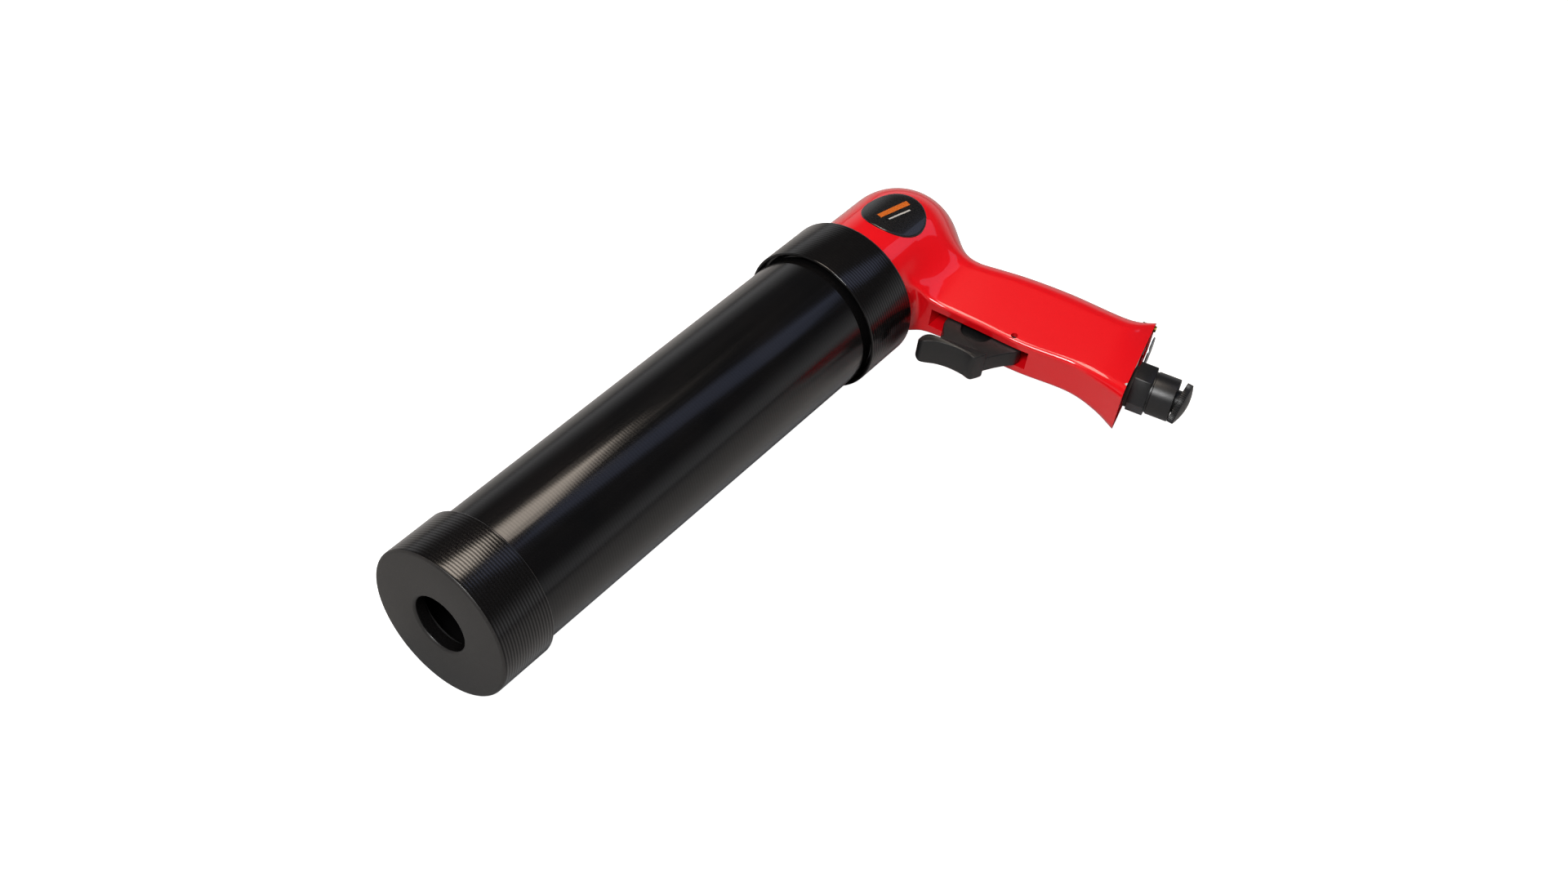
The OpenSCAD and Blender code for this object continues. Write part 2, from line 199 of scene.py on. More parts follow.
def blank(name):
    """An empty material with its surface shader and its place on the object."""
    material = bpy.data.materials.new(name)
    material.use_nodes = True
    tree = material.node_tree
    tree.nodes.clear()
    shader = add(tree, "ShaderNodeBsdfPrincipled")
    add(tree, "ShaderNodeOutputMaterial", {}, {"Surface": (shader, "BSDF")})
    place = add(tree, "ShaderNodeTexCoord")
    return material, tree, shader, place


def grain(tree, place, size_mm, stretch=(1, 1, 1), detail=2.0):
    """Noise whose grain is size_mm wide, stretched along an axis where stretch is above 1."""
    laid = add(tree, "ShaderNodeMapping", {"Scale": tuple(1 / s for s in stretch)},
               {"Vector": (place, "Object")})
    return add(tree, "ShaderNodeTexNoise", {"Scale": 1 / (size_mm * MM), "Detail": detail},
               {"Vector": (laid, "Vector")})


def spread(tree, source, low, high, output="Fac", start=0.3, stop=0.7):
    """A value between low and high from a pattern."""
    return add(tree, "ShaderNodeMapRange",
               {"From Min": start, "From Max": stop, "To Min": low, "To Max": high},
               {"Value": (source, output)})


def tint(tree, source, dark, light, output="Result"):
    """A colour between two from a value of 0 to 1."""
    ramp = add(tree, "ShaderNodeValToRGB", {}, {"Fac": (source, output)})
    ramp.color_ramp.elements[0].color = linear(dark)
    ramp.color_ramp.elements[1].color = linear(light)
    return ramp


def raise_by(tree, source, height_mm, output="Fac", over=None):
    """A bump of the given height from a pattern, over another bump if there is one."""
    links = {"Height": (source, output)}
    if over:
        links["Normal"] = (over, "Normal")
    return add(tree, "ShaderNodeBump", {"Distance": height_mm * MM, "Strength": 1.0}, links)


def dull(tree, shader, source, low, high):
    """Roughness between low and high from a pattern."""
    tree.links.new(spread(tree, source, low, high).outputs[0], shader.inputs["Roughness"])


def colour(tree, shader, source, dark, light):
    """Base colour between dark and light from a pattern."""
    tree.links.new(tint(tree, spread(tree, source, 0.0, 1.0), dark, light).outputs[0],
                   shader.inputs["Base Color"])


def dent(tree, shader, bump):
    """Gives the surface a bump."""
    tree.links.new(bump.outputs[0], shader.inputs["Normal"])


def enamel_on_die_casting(code):
    """Zinc die casting sprayed with red enamel: a glossy skin with faint orange peel, a little
    mottling where the coat is thin, and a bright chip at the corner of the base."""
    material, tree, shader, place = blank("red_enamel_on_die_casting")
    peel = grain(tree, place, 2.4, detail=1.0)
    speck = grain(tree, place, 0.45)
    tone = spread(tree, speck, 0.0, 1.0, start=0.1, stop=0.9)
    paint = tint(tree, tone, "DE0812", code)
    corner = (BASE_CENTRE + Vector((0, 0, 11.2)) - BASE_UP * 19.6 - BASE_OUT * 0.2) * MM
    away = add(tree, "ShaderNodeVectorMath", {"operation": "DISTANCE", 1: corner},
               {0: (place, "Object")})
    ragged = add(tree, "ShaderNodeMath", {"operation": "MULTIPLY_ADD", 1: 0.0010},
                 {0: (speck, "Fac"), 2: (away, "Value")})
    chip = add(tree, "ShaderNodeMapRange",
               {"From Min": 0.0012, "From Max": 0.0014, "To Min": 1.0, "To Max": 0.0},
               {"Value": (ragged, "Value")})
    skin = add(tree, "ShaderNodeMix", {"data_type": "RGBA", 7: linear("C9C2BE")},
               {0: (chip, "Result"), 6: (paint, "Color")})
    tree.links.new(skin.outputs[2], shader.inputs["Base Color"])
    dull(tree, shader, speck, 0.3, 0.4)
    shader.inputs["Specular IOR Level"].default_value = 0.2
    shader.inputs["Coat Weight"].default_value = 1.0
    shader.inputs["Coat Roughness"].default_value = 0.035
    bump = raise_by(tree, peel, 0.012)
    dent(tree, shader, raise_by(tree, speck, 0.003, over=bump))
    return material


RING_PITCH = 1.3


def turned_rings(tree, shader, place, height_mm, faint, bright):
    """The fine rings that a turning tool leaves round the barrel axis: ridges that shine more than
    the valleys between them. Real ones are closer together: these are spaced out so that they
    show. Returns their bump."""
    split = add(tree, "ShaderNodeSeparateXYZ", {}, {0: (place, "Object")})
    turns = add(tree, "ShaderNodeMath", {"operation": "MULTIPLY", 1: 2 * math.pi / (RING_PITCH * MM)},
                {0: (split, "Y")})
    ring = add(tree, "ShaderNodeMath", {"operation": "SINE"}, {0: (turns, 0)})
    shine = spread(tree, ring, faint, bright, output=0, start=-1.0, stop=1.0)
    tree.links.new(shine.outputs[0], shader.inputs["Specular IOR Level"])
    return raise_by(tree, ring, height_mm, output=0)


def black_drawn_tube(code):
    """Polished aluminium tube under gloss black: faint long streaks, fine turning rings and dust."""
    material, tree, shader, place = blank("black_drawn_tube")
    streak = grain(tree, place, 1.6, stretch=(1, 60, 1))
    dust = grain(tree, place, 0.5)
    colour(tree, shader, grain(tree, place, 18), code, "0F0E0E")
    dull(tree, shader, streak, 0.13, 0.22)
    rings = turned_rings(tree, shader, place, 0.002, 0.38, 0.46)
    streaks = raise_by(tree, streak, 0.005, over=rings)
    dent(tree, shader, raise_by(tree, dust, 0.0008, over=streaks))
    return material


def black_turned_metal(code, name="black_turned_metal", low=0.14, high=0.24):
    """Turned aluminium under gloss black, with clear rings and a little dust."""
    material, tree, shader, place = blank(name)
    dust = grain(tree, place, 0.5)
    colour(tree, shader, dust, code, "121111")
    dull(tree, shader, dust, low, high)
    rings = turned_rings(tree, shader, place, 0.008, 0.16, 0.7)
    dent(tree, shader, raise_by(tree, dust, 0.0008, over=rings))
    return material


def moulded(name, dark, light, low, high, size_mm=0.5, height_mm=0.01):
    """Moulded, cast or blasted stock with a fine even grain."""
    material, tree, shader, place = blank(name)
    speck = grain(tree, place, size_mm)
    colour(tree, shader, speck, dark, light)
    dull(tree, shader, speck, low, high)
    dent(tree, shader, raise_by(tree, speck, height_mm))
    return material


def metal(name, dark, light, low, high):
    """Bare or plated metal with faint machining marks."""
    material = moulded(name, dark, light, low, high, 0.4, 0.003)
    shader = next(n for n in material.node_tree.nodes if n.type == "BSDF_PRINCIPLED")
    shader.inputs["Metallic"].default_value = 1.0
    return material


def printed_badge(bar):
    """Gloss printed vinyl under a clear dome: black, with one plain bar and one thin plain line."""
    material, tree, shader, place = blank("printed_badge")
    centre = Vector((BADGE[0], BADGE[1] + REAR, 0)) * MM
    turned = add(tree, "ShaderNodeMapping",
                 {"vector_type": "TEXTURE", "Location": centre,
                  "Rotation": (0, 0, math.radians(76))}, {"Vector": (place, "Object")})
    split = add(tree, "ShaderNodeSeparateXYZ", {}, {0: (turned, "Vector")})

    def band(across, half, length):
        """1 inside a bar at across, with its half width and half length in millimetres."""
        off = add(tree, "ShaderNodeMath", {"operation": "SUBTRACT", 1: across * MM}, {0: (split, "Y")})
        near = add(tree, "ShaderNodeMath", {"operation": "ABSOLUTE"}, {0: (off, 0)})
        wide = add(tree, "ShaderNodeMath", {"operation": "LESS_THAN", 1: half * MM}, {0: (near, 0)})
        along = add(tree, "ShaderNodeMath", {"operation": "ABSOLUTE"}, {0: (split, "X")})
        long = add(tree, "ShaderNodeMath", {"operation": "LESS_THAN", 1: length * MM}, {0: (along, 0)})
        return add(tree, "ShaderNodeMath", {"operation": "MULTIPLY"}, {0: (wide, 0), 1: (long, 0)})

    film = grain(tree, place, 0.6, detail=1.0)
    tone = spread(tree, film, 0.0, 1.0)
    black = tint(tree, tone, "0F0F10", "171616")
    first = add(tree, "ShaderNodeMix", {"data_type": "RGBA", 7: linear(bar)},
                {0: (band(1.7, 1.25, 7.6), 0), 6: (black, "Color")})
    second = add(tree, "ShaderNodeMix", {"data_type": "RGBA", 7: linear("B9B7B2")},
                 {0: (band(-1.9, 0.35, 5.6), 0), 6: (first, 2)})
    tree.links.new(second.outputs[2], shader.inputs["Base Color"])
    shader.inputs["Coat Weight"].default_value = 0.6
    shader.inputs["Coat Roughness"].default_value = 0.05
    dull(tree, shader, film, 0.25, 0.33)
    return material


MATERIALS = {}


def material(key):
    """The named material, made once."""
    colours = bpy.context.scene.caulking_gun_colours
    makers = {
        "enamel": lambda: enamel_on_die_casting(colours.enamel),
        "tube": lambda: black_drawn_tube(colours.tube),
        "cap": lambda: black_turned_metal(colours.cap),
        "collar": lambda: black_turned_metal(colours.cap, "black_turned_collar", 0.12, 0.2),
        # The faced-off front of the cap: the same black, left matt by fine blasting, and given a lighter
        # grey that is painted light for the face turned towards the lamps.
        "cap_face": lambda: moulded("matt_faced_cap_painted_light", "1D1B1A", "262422", 0.42, 0.52, 0.35, 0.006),
        # Glass-filled nylon: satin black with a fine moulded grain.
        "nylon": lambda: moulded("black_filled_nylon", colours.trigger, "1A1A1B", 0.34, 0.46),
        # Black oxide on steel: dark, a little rough, with no colour of its own.
        "black_oxide": lambda: moulded("black_oxide_steel", "111112", "1A1A1B", 0.3, 0.42, 0.3, 0.006),
        # Soft moulded rubber: matt, with a dusty grain.
        "rubber": lambda: moulded("black_rubber", "0B0B0B", "141414", 0.6, 0.75, 0.5, 0.01),
        # Vulcanised fibre: dark brown and matt, with short fibres.
        "fibre": lambda: moulded("vulcanised_fibre", "1D1713", "2B221B", 0.6, 0.75, 0.3, 0.01),
        # Nickel plate over turned brass: blue-grey, with soft marks.
        "nickel": lambda: metal("nickel_plate", "6E7478", "9BA1A5", 0.22, 0.36),
        # Ground steel: pale grey, with a fine grain.
        "steel": lambda: metal("ground_steel", "8C8E90", "B5B7B9", 0.25, 0.4),
        # Turned brass that is still clean.
        "brass": lambda: metal("turned_brass", "A27C34", "C79F55", 0.25, 0.4),
        # Brass that has gone olive and dull in the air.
        "old_brass": lambda: metal("aged_brass", "6B6230", "9A8D48", 0.35, 0.5),
        "badge": lambda: printed_badge(colours.badge_bar),
    }
    if key not in MATERIALS:
        MATERIALS[key] = makers[key]()
    return MATERIALS[key]


def dress(node, key):
    """Gives a CAD node that stays its material."""
    mesh = frame["nodes"][node].data
    if mesh.materials:
        for i in range(len(mesh.materials)):
            mesh.materials[i] = material(key)
    else:
        mesh.materials.append(material(key))


# ---- making pieces ----


def finish_piece(name, bm, keys, body, nodes=(), sharp=35):
    """Turns a bmesh in millimetres into a finished piece that rides on a body."""
    bmesh.ops.remove_doubles(bm, verts=bm.verts, dist=1e-4)
    bmesh.ops.recalc_face_normals(bm, faces=bm.faces)
    bmesh.ops.scale(bm, vec=(MM, MM, MM), verts=bm.verts)
    mesh = bpy.data.meshes.new(name)
    bm.to_mesh(mesh)
    bm.free()
    for key in keys:
        mesh.materials.append(material(key))
    piece = bpy.data.objects.new(name, mesh)
    bpy.context.scene.collection.objects.link(piece)
    shade(piece, sharp)
    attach(piece, body)
    if nodes:
        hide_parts(*nodes)
    return piece


def shade(piece, sharp):
    """Smooth shading, with edges above the angle kept sharp."""
    piece.data.polygons.foreach_set("use_smooth", [True] * len(piece.data.polygons))
    piece.data.set_sharp_from_angle(angle=math.radians(sharp))


def cut(piece, bm, sharp=35):
    """Takes the closed shape in bm, in millimetres, out of a piece."""
    bmesh.ops.recalc_face_normals(bm, faces=bm.faces)
    bmesh.ops.scale(bm, vec=(MM, MM, MM), verts=bm.verts)
    mesh = bpy.data.meshes.new("cutter")
    bm.to_mesh(mesh)
    bm.free()
    mesh.materials.append(piece.data.materials[0])
    cutter = bpy.data.objects.new("cutter", mesh)
    bpy.context.scene.collection.objects.link(cutter)
    step = piece.modifiers.new("cut", "BOOLEAN")
    step.operation = "DIFFERENCE"
    step.solver = "EXACT"
    step.object = cutter
    bpy.context.view_layer.update()
    done = bpy.data.meshes.new_from_object(piece.evaluated_get(bpy.context.evaluated_depsgraph_get()))
    piece.modifiers.clear()
    old, piece.data = piece.data, done
    done.name = piece.name
    bpy.data.meshes.remove(old)
    bpy.data.objects.remove(cutter)
    bpy.data.meshes.remove(mesh)
    shade(piece, sharp)


def drill(piece, radius, low, high, place, steps, sharp):
    """Takes a round hole out of a piece, from low to high along the local z of its place."""
    bm = bmesh.new()
    turn(bm, [(0, low), (radius, low), (radius, high), (0, high)], place, closed=False, steps=steps)
    cut(piece, bm, sharp)


def rounded(points, steps=5):
    """A profile from corners of (radius, place, rounding), with each corner rounded."""
    out = []
    count = len(points)
    for i, (x, y, r) in enumerate(points):
        here = Vector((x, y))
        back = Vector(points[i - 1][:2]) - here
        on = Vector(points[(i + 1) % count][:2]) - here
        if r <= 0 or back.length < 1e-6 or on.length < 1e-6:
            out.append(here)
            continue
        turn = back.angle(on) / 2
        run = min(r / math.tan(turn), back.length * 0.49, on.length * 0.49)
        reach = run * math.tan(turn)
        middle = here + (back.normalized() + on.normalized()).normalized() * math.hypot(run, reach)
        first = here + back.normalized() * run - middle
        last = here + on.normalized() * run - middle
        sweep = first.angle_signed(last)
        for k in range(steps + 1):
            arm = first.copy()
            arm.rotate(Matrix.Rotation(-sweep * k / steps, 2))
            out.append(middle + arm)
    return out


def turn(bm, profile, place=None, closed=True, steps=None):
    """Spins a profile of (radius, height) points, about the local z axis, then puts it in place."""
    steps = steps or bpy.context.scene.caulking_gun_sizes.turned_steps
    dots = [bm.verts.new((p[0], 0, p[1])) for p in profile]
    lines = [bm.edges.new((dots[i], dots[i + 1])) for i in range(len(dots) - 1)]
    if closed:
        lines.append(bm.edges.new((dots[-1], dots[0])))
    before = set(bm.verts) - set(dots)
    bmesh.ops.spin(bm, geom=dots + lines, cent=(0, 0, 0), axis=(0, 0, 1), dvec=(0, 0, 0),
                   angle=2 * math.pi, steps=steps, use_merge=True, use_duplicate=False)
    made = [v for v in bm.verts if v not in before]
    bmesh.ops.remove_doubles(bm, verts=made, dist=1e-4)
    made = [v for v in bm.verts if v not in before]
    if place is not None:
        bmesh.ops.transform(bm, matrix=place, verts=made)
    return made


def along_barrel():
    """Local z along the barrel, towards the rear."""
    return Matrix.Rotation(-math.pi / 2, 4, "X")


def on_base(across, side=0.0):
    """Local z out of the base, local y towards the back of the grip, local x to the right side."""
    centre = BASE_CENTRE + BASE_UP * across + Vector((0, 0, side))
    return Matrix((
        (0, BASE_UP.x, BASE_OUT.x, centre.x),
        (0, BASE_UP.y, BASE_OUT.y, centre.y),
        (-1, 0, 0, centre.z),
        (0, 0, 0, 1)))


def across_base(node):
    """How far a node's middle lies from the middle of the base, towards the back of the grip."""
    low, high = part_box(node)
    return ((low + high) / 2 / MM - BASE_CENTRE).dot(BASE_UP)


def slab(bm, outline, low, high, bevel=0.0, segments=3):
    """A flat outline of (x, y) points made into a slab between two heights, with its rims rounded."""
    dots = [bm.verts.new((p[0], p[1], low)) for p in outline]
    face = bm.faces.new(dots)
    before = set(bm.verts) - set(dots)
    grown = bmesh.ops.extrude_face_region(bm, geom=[face])["geom"]
    top = [g for g in grown if isinstance(g, bmesh.types.BMVert)]
    bmesh.ops.translate(bm, vec=(0, 0, high - low), verts=top)
    made = [v for v in bm.verts if v not in before]
    if bevel:
        mine = set(made)
        rims = [e for e in bm.edges if set(e.verts) <= mine
                and abs(e.verts[0].co.z - e.verts[1].co.z) < 1e-6]
        bmesh.ops.bevel(bm, geom=rims, offset=bevel, segments=segments, profile=0.5,
                        affect="EDGES", material=-1, clamp_overlap=True)
        made = [v for v in bm.verts if v not in before]
    return made


def flowing(points, steps=6):
    """A smooth closed outline through the points."""
    out = []
    count = len(points)
    for i in range(count):
        a, b, c, d = (np.array(points[(i + k - 1) % count], float) for k in range(4))
        for s in range(steps):
            t = s / steps
            out.append(tuple(0.5 * (2 * b + (c - a) * t + (2 * a - 5 * b + 4 * c - d) * t * t
                                    + (3 * b - a - 3 * c + d) * t ** 3)))
    return out


# ---- barrel ----


def build_barrel():
    """Tube, cap and collar, turned from profiles."""
    low, high = (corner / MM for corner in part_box("barrel_tube"))
    tube_r, bore_r = high.x, high.x - TUBE_WALL
    relief_r, thread_r = tube_r - RELIEF_DEPTH, tube_r - THREAD_GAP
    thread_y = high.y - THREAD_LEN
    relief_y = thread_y - RELIEF_LEN
    bm = bmesh.new()
    turn(bm, rounded([
        (bore_r, low.y, 0.2), (tube_r, low.y, 0.3), (tube_r, relief_y, 0.35),
        (relief_r, relief_y + 0.25, 0.2), (relief_r, thread_y, 0.2),
        (thread_r, thread_y + 0.4, 0.2), (thread_r, high.y, 0.3), (bore_r, high.y, 0.2)]),
        along_barrel())
    finish_piece("tube_shell", bm, ["tube"], "barrel", ["barrel_tube"])

    low, high = (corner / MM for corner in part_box("front_cap"))
    step = low.y + CAP_FRONT
    socket_r = tube_r + THREAD_GAP
    bm = bmesh.new()
    turn(bm, rounded([
        (NOZZLE_R, low.y, 1.25), (high.x, low.y, 1.2), (high.x, high.y, 0.5),
        (socket_r, high.y, 0.15), (socket_r, step, 0), (NOZZLE_R, step, 0.3)], 7),
        along_barrel())
    for face in bm.faces:
        middle = face.calc_center_median()
        face.material_index = 1 if middle.y < low.y + 0.6 else 0
    finish_piece("cap_shell", bm, ["cap", "cap_face"], "front_cap", ["front_cap"])

    low, high = (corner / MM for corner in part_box("rear_collar"))
    recess_y, lip_y = low.y + RECESS_DEPTH, high.y - COLLAR_LIP
    bm = bmesh.new()
    turn(bm, rounded([
        (tube_r, recess_y, 0.2), (RECESS_R, recess_y, 0.3), (RECESS_R, low.y, 0.3),
        (high.x, low.y, 0.5), (high.x, high.y, 1.2), (COLLAR_HOLE_R, high.y, 0.4),
        (COLLAR_HOLE_R, lip_y, 0.1), (tube_r, lip_y, 0.1)], 6), along_barrel())
    finish_piece("collar_shell", bm, ["collar"], "collar", ["rear_collar"])


# ---- housing ----


def grip_rows(count):
    """Stations of the grip at even steps, eased between the given ones."""
    given = np.array(GRIP_STATIONS)
    last = len(given) - 1
    rows = []
    for t in np.linspace(0, last, count):
        i = min(int(t), last - 1)
        u = t - i
        a, b, c, d = (given[min(max(k, 0), last)] for k in (i - 1, i, i + 1, i + 2))
        rows.append(0.5 * (2 * b + (c - a) * u + (2 * a - 5 * b + 4 * c - d) * u * u
                           + (3 * b - a - 3 * c + d) * u ** 3))
    return np.array(rows)


def grip_distance(p, rows):
    """Signed distance from points to the grip alone."""
    front, run = rows[:, 0:2], rows[:, 2:4] - rows[:, 0:2]
    side = (run[:, 0] * (p[:, 1, None] - front[:, 1])
            - run[:, 1] * (p[:, 0, None] - front[:, 0])) / np.hypot(run[:, 0], run[:, 1])
    upper = np.clip((side > 0).argmax(1), 1, len(rows) - 1)
    upper = np.where((side > 0).any(1), upper, len(rows) - 1)
    n = np.arange(len(p))
    s0, s1 = side[n, upper - 1], side[n, upper]
    t = np.clip(-s0 / np.where(abs(s1 - s0) < 1e-9, 1e-9, s1 - s0), 0, 1)
    row = rows[upper - 1] * (1 - t)[:, None] + rows[upper] * t[:, None]
    f, d = row[:, 0:2], row[:, 2:4] - row[:, 0:2]
    length = np.hypot(d[:, 0], d[:, 1])
    u = ((p[:, :2] - f) * d).sum(1) / length
    a = abs(p[:, 2])
    wf, rf, wb, rb = row[:, 4], row[:, 5], row[:, 6], row[:, 7]
    fa, fu, ba, bu = wf - rf, rf, wb - rb, length - rb
    h = np.hypot(ba - fa, bu - fu)
    ea, eu = (ba - fa) / h, (bu - fu) / h
    across = (a - fa) * eu - (u - fu) * ea
    along = (a - fa) * ea + (u - fu) * eu
    sb = (rf - rb) / h
    cb = np.sqrt(1 - sb * sb)
    k = -sb * across + cb * along
    flank = cb * across + sb * along - rf
    flat = np.maximum(np.maximum(-u, u - length), flank)
    out = np.where((k < 0) & (u < fu) & (a > fa), np.hypot(a - fa, u - fu) - rf, flat)
    out = np.where((k > cb * h) & (u > bu) & (a > ba), np.hypot(a - ba, u - bu) - rb, out)
    return np.maximum(out, np.maximum(side[:, 0], -side[:, -1] - 1e-6))


def body_distance(p, rows, head_r, fillet):
    """Signed distance from points to the head and grip, with a fillet where they meet."""
    head = np.sqrt(p[:, 0] ** 2 + np.maximum(p[:, 1] - HEAD_LEN, 0) ** 2 + p[:, 2] ** 2) - head_r
    grip = grip_distance(p, rows)
    # tight along the front strap, where a small ridge runs into the neck, and generous at the back
    tight, start, run = 3.0, 9, 30
    ease = np.clip((p[:, 1] - start) / run, 0, 1)
    reach = tight + (fillet - tight) * ease * ease * (3 - 2 * ease)
    h = np.maximum(reach - abs(head - grip), 0) / reach
    return np.minimum(head, grip) - h * h * reach / 4


def housing_sections(rows):
    """Cutting planes from the collar round the corner and down the grip: a start and a direction."""
    corner = (30.5, 2.4)
    planes = [((corner[0], y), (-1.0, 0.0)) for y in (0.3, 0.9, 1.6)]
    for angle in np.arange(180, 88.9, -1.3):
        planes.append((corner, (math.cos(math.radians(angle)), math.sin(math.radians(angle)))))
    in_front = 7
    for row in rows[rows[:, 0] > 32.6]:
        way = (row[2:4] - row[0:2]) / np.linalg.norm(row[2:4] - row[0:2])
        planes.append((tuple(row[0:2] - in_front * way), tuple(way)))
    return planes


def outline_at(plane, rows, head_r, fillet, count):
    """The outline of the housing in one plane, as points around its middle. Each point is first
    found roughly along its arm, as a share of the arm, and then by halving."""
    furthest = 1.8
    start, way = (np.array(v) for v in plane)
    reach = np.linspace(0, 90, 361)
    line = np.c_[start + reach[:, None] * way, np.zeros(len(reach))]
    inside = reach[body_distance(line, rows, head_r, fillet) < 0]
    first = inside[0]
    gaps = np.where(np.diff(inside) > 0.6)[0]
    last = inside[gaps[0]] if len(gaps) else inside[-1]
    middle = np.append(start + way * (first + last) / 2, 0.0)
    long = (last - first) / 2
    tall = np.linspace(0, 40, 161)
    column = middle + tall[:, None] * np.array((0, 0, 1.0))
    wide = tall[body_distance(column, rows, head_r, fillet) < 0][-1]
    angle = 2 * math.pi * np.arange(count) / count
    arm = np.c_[np.cos(angle)[:, None] * long * way, np.sin(angle) * wide]
    low, high = np.zeros(count), np.full(count, furthest)
    for s in np.linspace(0.3, furthest, 31):
        hit = (body_distance(middle + arm * s, rows, head_r, fillet) > 0) & (high >= furthest)
        high = np.where(hit, s, high)
        low = np.where(high >= furthest, s, low)
    for _ in range(18):
        mid = (low + high) / 2
        out = body_distance(middle + arm * mid[:, None], rows, head_r, fillet) > 0
        high, low = np.where(out, mid, high), np.where(out, low, mid)
    return middle + arm * ((low + high) / 2)[:, None]


def housing_skin(bm, rings):
    """Joins the outlines into one open skin, from the collar to the base."""
    count = len(rings[0])
    grid = bmesh.ops.create_grid(bm, x_segments=len(rings) - 1, y_segments=count, size=1)
    for v in grid["verts"]:
        i = round((v.co.x + 1) / 2 * (len(rings) - 1))
        j = round((v.co.y + 1) / 2 * count) % count
        x, y, z = rings[i][j]
        v.co = (x, y + REAR, z)
    bmesh.ops.remove_doubles(bm, verts=bm.verts, dist=1e-4)


def grow(bm, edges, move):
    """Carries an open edge on by one step, and returns the new open edge."""
    made = bmesh.ops.extrude_edge_only(bm, edges=edges)["geom"]
    for v in (g for g in made if isinstance(g, bmesh.types.BMVert)):
        v.co = move(v.co)
    return [g for g in made if isinstance(g, bmesh.types.BMEdge) and g.is_boundary]


def towards_base(shrink, lift):
    """Moves a point in towards the middle of the base, to a height over it."""
    def move(co):
        arm = co - BASE_CENTRE
        arm -= BASE_OUT * arm.dot(BASE_OUT)
        return BASE_CENTRE + arm * (1 - shrink / max(arm.length, 1e-6)) + BASE_OUT * lift
    return move


def round_barrel(radius, y):
    """Moves a point to a radius about the barrel axis, and a place along it."""
    def move(co):
        arm = Vector((co.x, 0, co.z)).normalized() * radius
        return Vector((arm.x, y, arm.z))
    return move


def build_housing():
    """The painted housing: one skin from the collar over the head and down the grip."""
    sizes = bpy.context.scene.caulking_gun_sizes
    rows = grip_rows(110)
    bm = bmesh.new()
    housing_skin(bm, [outline_at(plane, rows, sizes.head_radius, sizes.fillet, 180)
                      for plane in housing_sections(rows)])

    rims = [e for e in bm.edges if e.is_boundary]
    lower = [e for e in rims if abs((e.verts[0].co - BASE_CENTRE).dot(BASE_OUT)) < 0.6]
    upper = [e for e in rims if e not in set(lower)]
    edge = lower
    for shrink, lift in ((0.25, -0.02), (0.9, -0.04), (0.25, -0.6)):
        edge = grow(bm, edge, towards_base(shrink, lift))
    bmesh.ops.holes_fill(bm, edges=edge, sides=0)
    edge = upper
    for radius, y in ((NECK_R, 0.3), (NECK_R, -COLLAR_LIP - 0.1), (FLANGE_R, -COLLAR_LIP - 0.1),
                      (FLANGE_R, -FLANGE_END), (CHAMBER_R, -FLANGE_END), (CHAMBER_R, CHAMBER_DEPTH)):
        edge = grow(bm, edge, round_barrel(radius, REAR + y))
    bmesh.ops.holes_fill(bm, edges=edge, sides=0)
    sharp = 42
    piece = finish_piece("housing_shell", bm, ["enamel"], "housing", ["grip_housing"], sharp)

    slot = bmesh.new()
    front, floor = REAR - 5, REAR + SLOT_FLOOR
    slab(slot, [(SLOT_START, front), (SLOT_STOP, front), (SLOT_STOP, floor), (SLOT_START, floor)],
         -SLOT_HALF, SLOT_HALF)
    cut(piece, slot, sharp)
    drill(piece, 1.3, -30, 30, Matrix.Translation((PIVOT[0], PIVOT[1] + REAR, 0)), 48, sharp)
    low, high = (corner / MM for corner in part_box("vent_screw"))
    drill(piece, 6.65, -12, 6, on_base(across_base("inlet_bushing")), 64, sharp)
    drill(piece, KNOB_R + 0.3, -4.6, 6, on_base(across_base("regulator_knob")), 64, sharp)
    drill(piece, (high.z - low.z) / 2 + 0.02, -6, 6,
          on_base(across_base("vent_screw"), (low.z + high.z) / 2), 64, sharp)


def build_badge():
    """A thin domed badge that follows the curve of the head."""
    sizes = bpy.context.scene.caulking_gun_sizes
    rise = sizes.badge_thickness
    steps, around = 16, 120
    radius, bulge, bulge_at = 12.4, 1.4, math.radians(220)
    heights = [(1.0, -0.3), (1.0, rise * 0.55), (0.992, rise * 0.85), (0.97, rise)]
    heights += [(1 - (k + 1) / steps, rise) for k in range(steps)]
    bm = bmesh.new()
    grid = bmesh.ops.create_grid(bm, x_segments=len(heights) - 1, y_segments=around, size=1)
    for v in grid["verts"]:
        i = round((v.co.x + 1) / 2 * (len(heights) - 1))
        j = round((v.co.y + 1) / 2 * around) % around
        turned = 2 * math.pi * j / around
        lobe = bulge * max(0.0, math.cos(turned - bulge_at)) ** 3
        share, lift = heights[i]
        r = (radius + lobe) * max(share, 0.0)
        x, y = BADGE[0] + r * math.cos(turned), BADGE[1] + r * math.sin(turned)
        skin = sizes.head_radius + lift
        v.co = (x, y + REAR, math.sqrt(skin ** 2 - x * x - max(y - HEAD_LEN, 0) ** 2))
    finish_piece("badge_plate", bm, ["badge"], "housing", ["side_badge"], 50)


# ---- trigger ----


